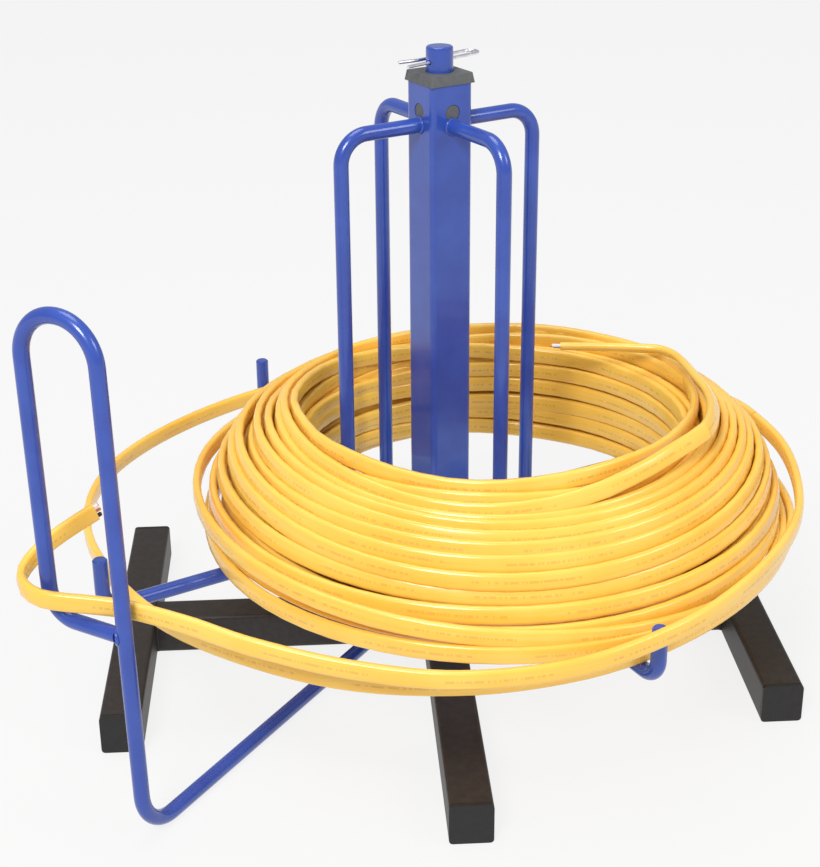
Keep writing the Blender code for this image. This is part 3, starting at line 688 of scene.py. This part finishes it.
# straight legs through corner points, each corner rounded to its bend radius
def bentPath(corners, bends):
    points = [Vector(corners[0])]
    for before, corner, after, bend in zip(corners, corners[1:], corners[2:], bends):
        corner = Vector(corner)
        back = (Vector(before) - corner).normalized()
        onward = (Vector(after) - corner).normalized()
        half = back.angle(onward) / 2
        centre = corner + (back + onward).normalized() * (bend / sin(half))
        start = corner + back * (bend / sin(half) * cos(half)) - centre
        end = corner + onward * (bend / sin(half) * cos(half)) - centre
        swing = start.angle(end)
        for step in range(rod["steps"] + 1):
            share = step / rod["steps"]
            turned = start * sin((1 - share) * swing) + end * sin(share * swing)
            points.append(centre + turned / sin(swing))
    return points + [Vector(corners[-1])]


# a point on one arm's line, at a distance from the spindle
def spoke(index, distance, height):
    a = radians(arms["turn"] + 90 * index)
    return Vector((distance * cos(a), distance * sin(a), height))


# a circle's points as pairs of offsets
def circle(radius):
    angles = [2 * pi * i / weld["points"] for i in range(weld["points"])]
    return [(radius * cos(a), radius * sin(a)) for a in angles]


# closed ring about an axis
def ringRound(centre, axis, radius):
    axis = Vector(axis).normalized()
    side = axis.orthogonal().normalized()
    other = axis.cross(side)
    return [Vector(centre) + side * u + other * v for u, v in circle(radius)]


# ring about an axis that sits on a bar lying along another direction
def saddle(centre, axis, along, radius, barrel):
    axis, along = Vector(axis).normalized(), Vector(along).normalized()
    side = axis.cross(along).normalized()
    return [Vector(centre) + along * u + side * v
            + axis * sqrt(max(weld["shallowest"] ** 2, barrel ** 2 - v ** 2))
            for u, v in circle(radius)]


def fitPiece(piece, body, nodes=()):
    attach(piece, body)
    if nodes:
        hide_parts(*nodes)


blue = finishes["blue_coat"]
ringRadius = rod["radius"] + weld["proud"]
postWelds = []
for index in range(arms["count"]):
    outward, sideways, upward = arms["bent"][index]
    root = spoke(index, arms["face"], arms["height"])
    end = spoke(index, arms["reach"] + outward, arms["height"]) + spoke(index + 1, sideways, 0)
    corners = [root, end, end + Vector((0, 0, arms["tip"] + upward))]
    bar = sweepRound(f"armBar{index + 1}", [bentPath(corners, [arms["bend"]])], rod["radius"], blue,
                     chamfer=rod["chamfer"])
    fitPiece(bar, "carousel", [f"arm_{index + 1}"])
    head = spoke(index, arms["face"], cage["height"])
    corners = [spoke(index, cage["radius"], cage["foot"]),
               spoke(index, cage["radius"], cage["height"]), head]
    bar = sweepRound(f"cageBar{index + 1}", [bentPath(corners, [cage["bend"]])], rod["radius"],
                     blue)
    fitPiece(bar, "carousel", [f"cage_rod_{index + 1}"])
    outwards = spoke(index, 1, 0)
    for centre in (root, head):
        postWelds.append(ringRound(centre, outwards, rod["radius"]))
    postWelds.append(saddle(spoke(index, cage["radius"], arms["height"]), (0, 0, 1), outwards,
                            ringRadius, rod["radius"]))
beads = sweepRound("carouselWelds", postWelds, weld["bead"], blue, weld["ripple"], True,
                   weld["sides"])
fitPiece(beads, "carousel")
print("arms and cage bent and welded")

heading = radians(guide["heading"])
inward = Vector((cos(heading), sin(heading), 0))
across = Vector((-inward.y, inward.x, 0))
rise = Vector((0, 0, 1)) + inward * guide["leanIn"] + across * guide["leanSide"]
floorWeld = Vector(guide["weld"])
guideFoot = floorWeld - inward * guide["run"]
sillStart = guideFoot + rise * guide["sill"]
guideCorners = [
    floorWeld - inward * ((rod["radius"] * inward.x + guide["gap"]) / inward.y),
    guideFoot,
    guideFoot + rise * guide["height"],
    guideFoot + rise * guide["height"] + across * guide["width"],
    guideFoot + rise * guide["sill"] + across * guide["width"],
    sillStart + across * (rod["radius"] + guide["gap"]),
]
arch = guide["width"] / 2 * roundestArch
guideRoute = bentPath(guideCorners, [guide["footBend"], arch, arch, guide["sillBend"]])
guideBar = sweepRound("guideBar", [guideRoute], rod["radius"], blue)
fitPiece(guideBar, "base", ["guide_rod"])

# the floor leg meets the cross bar at a slant, so its ring is slid along the leg to the bar's face
floorRing = []
for u, v in circle(ringRadius):
    spot = floorWeld + across * u + Vector((0, 0, v))
    spot -= inward * ((spot.y - floorWeld.y + guide["weldBack"]) / inward.y)
    floorRing.append(Vector((spot.x, spot.y, max(spot.z, weld["bead"]))))
sillRing = saddle(sillStart, across, rise, ringRadius, rod["radius"])
beads = sweepRound("guideWelds", [floorRing, sillRing], weld["bead"], blue, weld["ripple"], True,
                   weld["sides"])
fitPiece(beads, "base")


# weld over the top and down both sides where one square bar butts against another
def barSeam(x, y, alongX):
    half, top, corner = base["barHalf"], base["tube"], base["corner"]
    profile = [(-half, base["seamFoot"]), (-half, top - corner), (corner - half, top),
               (half - corner, top), (half, top - corner), (half, base["seamFoot"])]
    steps = base["seamSteps"]
    fine = []
    for (a, b), (c, d) in zip(profile, profile[1:]):
        fine += [(a + (c - a) * k / steps, b + (d - b) * k / steps) for k in range(steps)]
    fine.append(profile[-1])
    return [(x + u if alongX else x, y if alongX else y + u, z) for u, z in fine]


seams = [barSeam(0, base["crossFront"], True), barSeam(-base["foot"], 0, False),
         barSeam(base["foot"], 0, False)]
beads = sweepRound("baseWelds", seams, weld["barBead"], finishes["black_coat"], weld["ripple"],
                   False, weld["sides"])
fitPiece(beads, "base")

clipTurn = Matrix.Rotation(radians(clip["turn"]), 4, "Z")
clipTurn = Matrix.Translation((0, 0, clip["height"])) @ clipTurn
clipCorners = [(-clip["tip"], 0, 0), (clip["eye"], 0, 0), (clip["eye"], clip["side"], 0),
               (-clip["spindle"], clip["side"], 0),
               (-clip["outer"], clip["side"] + clip["flare"], 0)]
arch = clip["side"] / 2 * roundestArch
clipRoute = [clipTurn @ point for point in bentPath(clipCorners, [arch, arch, clip["flareBend"]])]
wire = sweepRound("hairpinWire", [clipRoute], clip["wire"], finishes["zinc"],
                  sides=clip["sides"], chamfer=clip["chamfer"])
fitPiece(wire, "clip", ["hairpin_clip"])
print("guide and clip bent")

# cut ends: sheath cut square, the two insulated cores and the bare wire left standing out;
# for each its offset across the width, radius and length (metres)
cut = {
    "white": (0.0034, 0.0014, 0.0062), "black": (-0.0034, 0.0014, 0.0052),
    "bareLength": 0.0078, "wire": 0.00103, "wireShow": 0.0006, "wireChamfer": 0.0002,
    "inside": 0.004, "coreSides": 18, "wireSides": 16,
    "leadShow": 0.5, "innerShow": 1.0,      # how much of those lengths stands out
}
coreGrain = {"grain": 0.6, "height": 0.004}     # mm


def plainMaterial(name, code, roughness, metallic=0.0):
    material, tree, shader = newMaterial(name, {
        "Base Color": linearColour(code), "Roughness": roughness, "Metallic": metallic})
    place = addNode(tree, "ShaderNodeTexCoord").outputs["Object"]
    bumped(tree, shader, place, coreGrain["grain"], coreGrain["height"])
    return material


coreFinishes = {
    # extruded PVC, glossy: off-white, and a black that is slightly warm
    "white": plainMaterial("whitePvcInsulation", "#E6DEDB", 0.35),
    "black": plainMaterial("blackPvcInsulation", "#1D1A1B", 0.35),
    # drawn and annealed copper wire, still bright where it was cut
    "bare": plainMaterial("softDrawnCopper", "#D98A5E", 0.32, 1.0),
}


# cores at a path's last point; show scales the lengths
def cutEnd(name, path, body, show):
    tip = Vector(path[-1, :3])
    ahead = (tip - Vector(path[-3, :3])).normalized()
    up = (Vector((0, 0, 1)) - ahead * ahead.z).normalized()
    across = Matrix.Rotation(radians(path[-1, 3]), 3, ahead) @ up
    start = tip - ahead * cut["inside"]
    pieces = []
    wires = [[start, tip, tip + ahead * cut["bareLength"] * show]]
    for core in ("white", "black"):
        offset, radius, length = cut[core]
        aside = across * offset
        line = [start + aside, tip + aside, tip + aside + ahead * length * show]
        pieces.append(sweepRound(name + core.title() + "Core", [line], radius, coreFinishes[core],
                                 sides=cut["coreSides"]))
        mouth = tip + aside
        wires.append([mouth, mouth + ahead * (length * show + cut["wireShow"])])
    pieces.append(sweepRound(name + "Copper", wires, cut["wire"], coreFinishes["bare"],
                             sides=cut["wireSides"], chamfer=cut["wireChamfer"]))
    for piece in pieces:
        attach(piece, body)
    return pieces


leadCores = cutEnd("lead", leadPath, "base", cut["leadShow"])
innerCores = cutEnd("innerEnd", innerPath, "carousel", cut["innerShow"])
print("cores laid")

for piece, path, node, body, lay, ends in (
        (windings, coilPath, "cable_coil", "carousel", "coiled", []),
        (looseTurn, loosePath, "loose_turn", "carousel", "loose", []),
        (lead, leadPath, "lead", "base", "loose", leadCores),
        (innerEnd, innerPath, "inner_end", "carousel", "loose", innerCores)):
    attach(piece, body)
    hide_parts(node)
print("cable laid")

stage = {
    "reach": 6.0,          # half the floor's side, metres
    "floor": "#505050",
    "floorRoughness": 0.9,
    "floorSpecular": 0.1,
    "glow": 0.84,          # a lit table, so that shadows stay faint
    "sky": 0.46,
    "backdrop": 0.92,
    "aim": (0, 0, 0.15),
    "lights": {            # place, size in metres, watts
        "frontLight": ((-0.9, -2.0, 2.1), 1.0, 60),
        "sideLight": ((1.9, -1.1, 1.7), 1.0, 16),
        "topLight": ((-0.3, 0.3, 2.4), 1.4, 18),
    },
}


def addStage():
    reach = stage["reach"]
    mesh = bpy.data.meshes.new("studioFloor")
    mesh.from_pydata([(-reach, -reach, floorZ), (reach, -reach, floorZ),
                      (reach, reach, floorZ), (-reach, reach, floorZ)], [], [(0, 1, 2, 3)])
    floor = bpy.data.objects.new("studioFloor", mesh)
    scene.collection.objects.link(floor)
    # painted board, lit from below: pale, dull and almost without shadows
    material, tree, shader = newMaterial("paleFloor", {
        "Roughness": stage["floorRoughness"], "Specular IOR Level": stage["floorSpecular"],
        "Base Color": linearColour(stage["floor"]),
        "Emission Color": (1, 1, 1, 1), "Emission Strength": stage["glow"]})
    mesh.materials.append(material)
    world = bpy.data.worlds.new("studio")
    world.use_nodes = True
    background = world.node_tree.nodes["Background"]
    background.inputs["Color"].default_value = (1, 1, 1, 1)
    # the sky that the camera sees matches the floor; the light from it is softer
    seen = addNode(world.node_tree, "ShaderNodeLightPath").outputs["Is Camera Ray"]
    level = addNode(world.node_tree, "ShaderNodeMapRange",
                    {"To Min": stage["sky"], "To Max": stage["backdrop"]}, {"Value": seen})
    world.node_tree.links.new(level.outputs[0], background.inputs["Strength"])
    scene.world = world
    for name, (place, size, power) in stage["lights"].items():
        data = bpy.data.lights.new(name, "AREA")
        data.shape = "DISK"
        data.size = size
        data.energy = power
        light = bpy.data.objects.new(name, data)
        light.location = place
        towards = Vector(stage["aim"]) - Vector(place)
        light.rotation_euler = towards.to_track_quat("-Z", "Y").to_euler()
        scene.collection.objects.link(light)
    scene.view_settings.view_transform = "Standard"


addStage()
print("stage lit")
